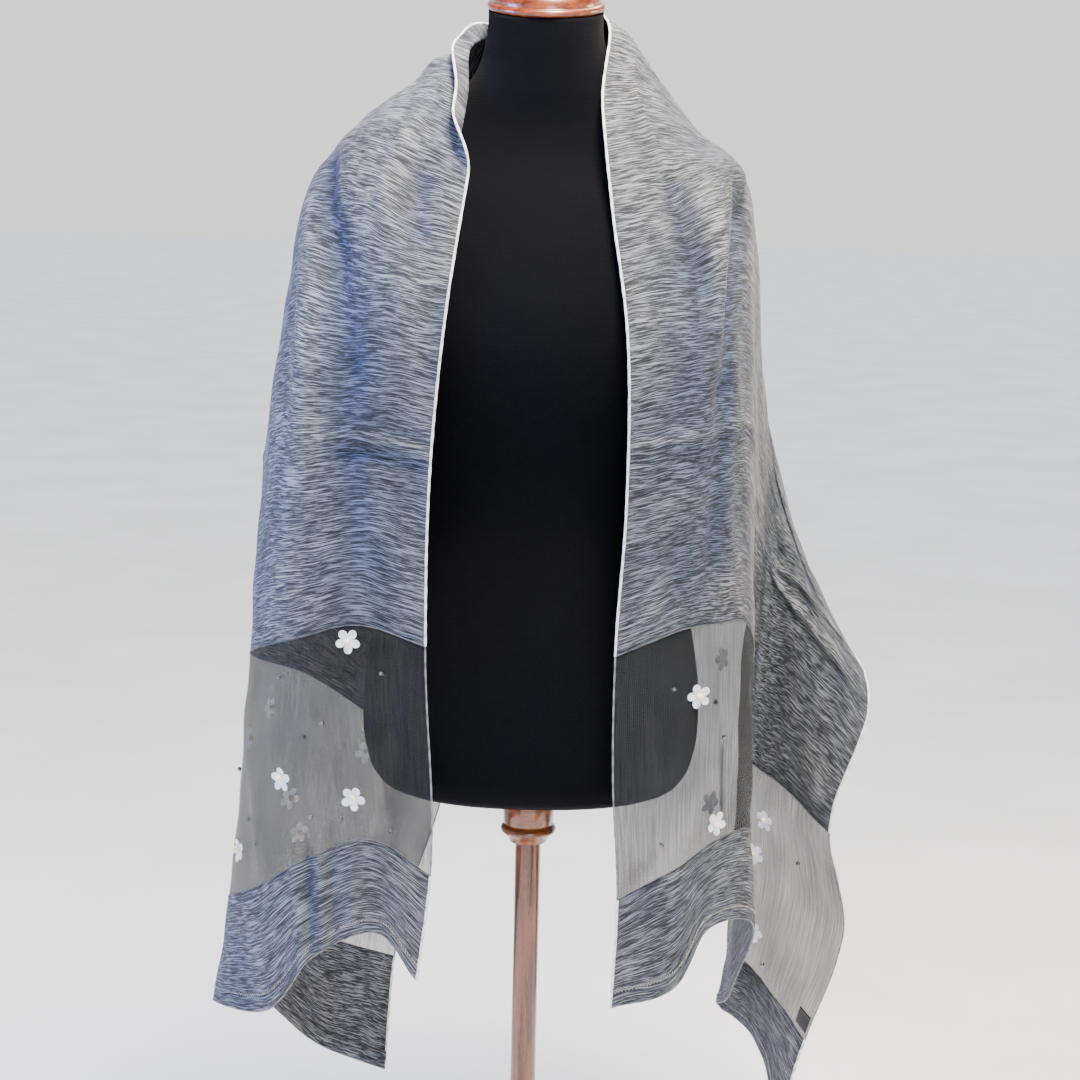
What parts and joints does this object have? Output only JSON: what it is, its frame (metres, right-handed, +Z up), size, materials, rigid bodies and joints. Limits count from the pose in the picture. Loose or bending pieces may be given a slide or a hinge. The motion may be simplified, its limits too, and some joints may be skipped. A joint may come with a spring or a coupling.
{
  "type": "sheer scarf on a limbless dress form",
  "caption": "Long marled shawl scarf with sheer end bands, draped round the neck of a limbless dress form on a pole stand.",
  "frame": {"origin": "middle of the flat underside of the round base", "axes": "+Z up along the pole, -Y towards the front of the form, +X to the right as seen from the front"},
  "size_m": [0.6221, 0.36, 1.2647],
  "materials": {
    "marled_cloth": "soft marled weave",
    "sheer_organza": "see-through plain weave with a faint sheen",
    "label_cloth": "matte woven tape",
    "black_jersey": "matte stretched jersey",
    "warm_wood": "gloss varnish",
    "dark_wood": "satin varnish"
  },
  "bodies": {
    "root": {"body": "marled_cloth", "left_sheer_band": "sheer_organza", "right_sheer_band": "sheer_organza", "left_hem_band": "marled_cloth", "right_hem_band": "marled_cloth", "label": "label_cloth", "dress_form": "black_jersey", "neck_cap": "warm_wood", "stand_collar": "dark_wood", "stand_pole": "dark_wood", "stand_base": "dark_wood"}
  },
  "joints": []
}
